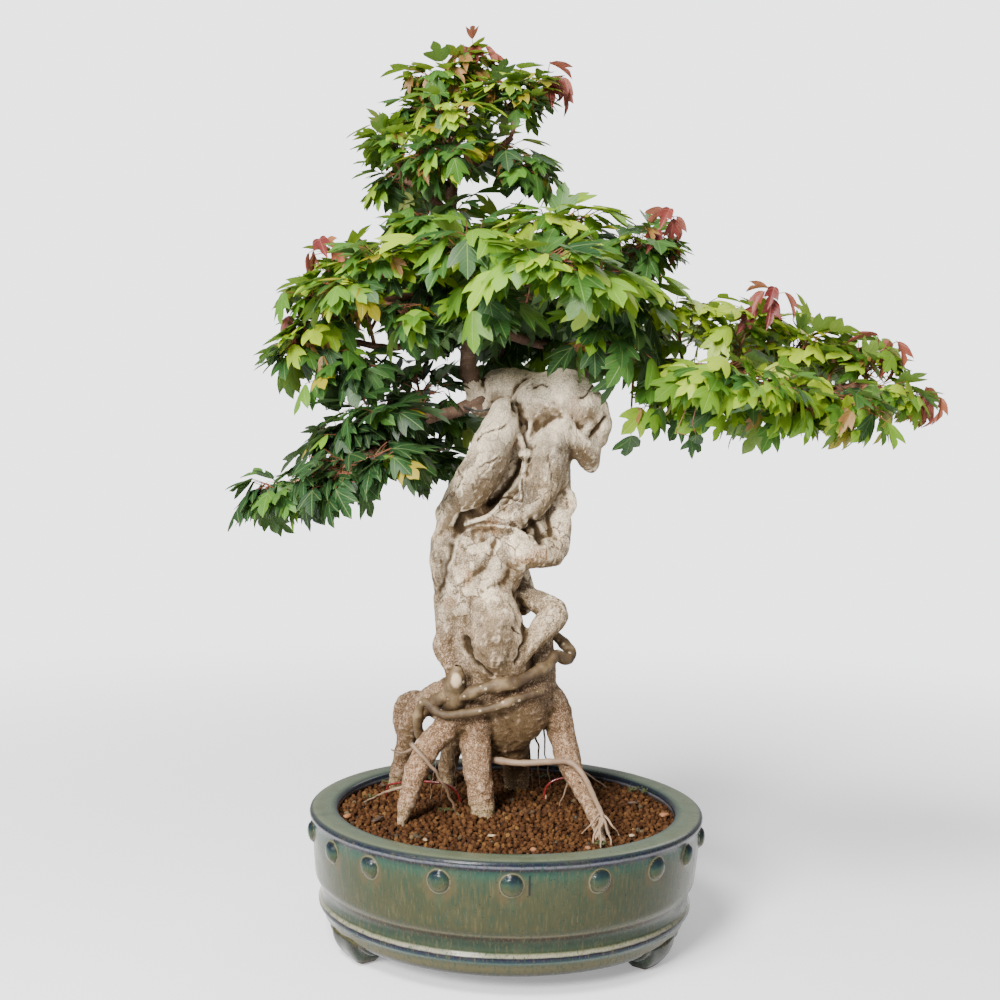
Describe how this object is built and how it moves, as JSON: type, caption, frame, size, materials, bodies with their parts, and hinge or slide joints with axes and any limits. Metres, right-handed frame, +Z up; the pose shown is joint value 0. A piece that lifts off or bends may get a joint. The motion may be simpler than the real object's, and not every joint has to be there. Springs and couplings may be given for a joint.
{
  "type": "trident maple bonsai",
  "caption": "Small trained maple tree with a gnarled trunk, exposed roots and leafy sprays, standing in a round glazed drum pot with a studded rim and low feet.",
  "frame": {"origin": "middle of the whole tree's and pot's footprint, on the surface that the feet stand on", "axes": "+Z up, the front towards -Y, the long right branch towards +X"},
  "size_m": [0.558, 0.3358, 0.7084],
  "materials": {
    "glaze": "glossy olive green reduction glaze with teal streaks and iron specks",
    "soil": "matte reddish brown baked clay grains",
    "bark": "matte beige bark, flaking in thin plates",
    "leaf": "satin green leaf",
    "young_leaf": "satin reddish bronze young leaf",
    "tie_wire": "red enamelled wire",
    "screen": "black plastic mesh"
  },
  "bodies": {
    "root": {"drain_screen": "screen", "pot": "glaze", "red_shoot_apex": "young_leaf", "red_shoot_crown": "young_leaf", "red_shoot_left_tip": "young_leaf", "red_shoot_left_top": "young_leaf", "red_shoot_middle": "young_leaf", "red_shoot_right_end": "young_leaf", "red_shoot_right_middle": "young_leaf", "red_shoot_right_outer": "young_leaf", "soil": "soil", "spray_back": "leaf", "spray_back_left": "leaf", "spray_back_right": "leaf", "spray_back_top": "leaf", "spray_crown_back": "leaf", "spray_crown_front": "leaf", "spray_crown_left": "leaf", "spray_crown_low_right": "leaf", "spray_crown_rear_left": "leaf", "spray_crown_right": "leaf", "spray_crown_top": "leaf", "spray_front": "leaf", "spray_front_left": "leaf", "spray_left_droop": "leaf", "spray_left_front": "leaf", "spray_left_tip": "leaf", "spray_left_top": "leaf", "spray_low_left_back": "leaf", "spray_low_left_droop": "leaf", "spray_low_left_front": "leaf", "spray_low_left_inner": "leaf", "spray_low_left_middle": "leaf", "spray_low_left_tip": "leaf", "spray_middle_right": "leaf", "spray_middle_top": "leaf", "spray_neck_front": "leaf", "spray_right_back": "leaf", "spray_right_far": "leaf", "spray_right_front": "leaf", "spray_right_inner": "leaf", "spray_right_middle": "leaf", "spray_right_outer": "leaf", "spray_right_tip": "leaf", "spray_right_top": "leaf", "spray_right_upper": "leaf", "tie_wire_left": "tie_wire", "tie_wire_right": "tie_wire", "trunk": "bark"}
  },
  "joints": []
}
